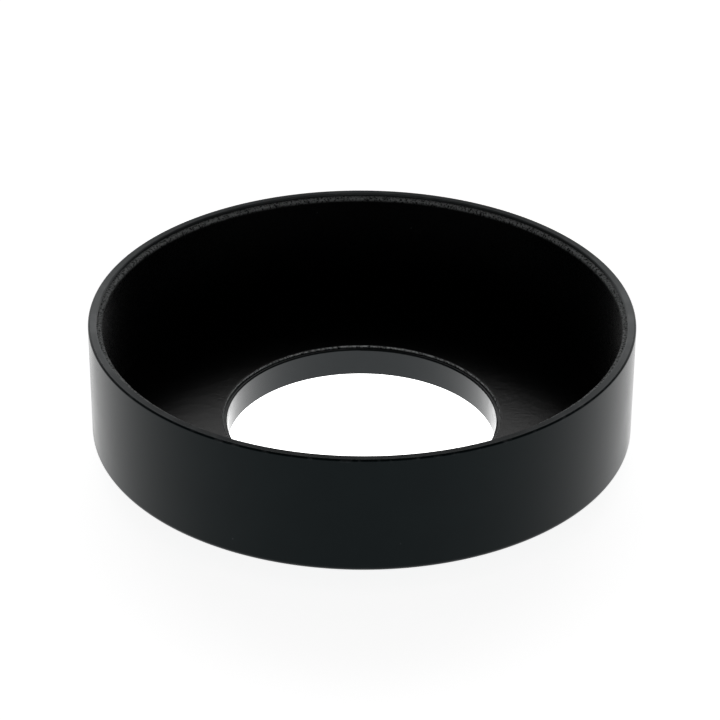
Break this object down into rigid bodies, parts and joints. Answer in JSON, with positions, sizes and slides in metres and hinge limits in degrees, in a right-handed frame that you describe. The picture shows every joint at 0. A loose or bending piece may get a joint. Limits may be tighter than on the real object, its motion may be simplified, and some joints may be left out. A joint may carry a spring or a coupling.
{
  "type": "lens hood",
  "caption": "Short, wide cylindrical screw-in lens hood, black anodised outside, flocked inside, on a narrow threaded neck.",
  "frame": {"origin": "centre of the threaded neck's lower face, on the optical axis; the hood stands on this face when it is off the lens", "axes": "+Z along the optical axis, from the lens out through the hood's front rim; X and Y are across it, and the wall lining's butt seam is on the -Y side"},
  "size_m": [0.076, 0.076, 0.0208],
  "materials": {
    "black_anodised": "satin black anodised",
    "black_flock": "matte short-pile flock"
  },
  "bodies": {
    "root": {"outer_shell": "black_anodised", "base_plate": "black_anodised", "mount_ring": "black_anodised", "wall_lining": "black_flock", "floor_lining": "black_flock"}
  },
  "joints": []
}
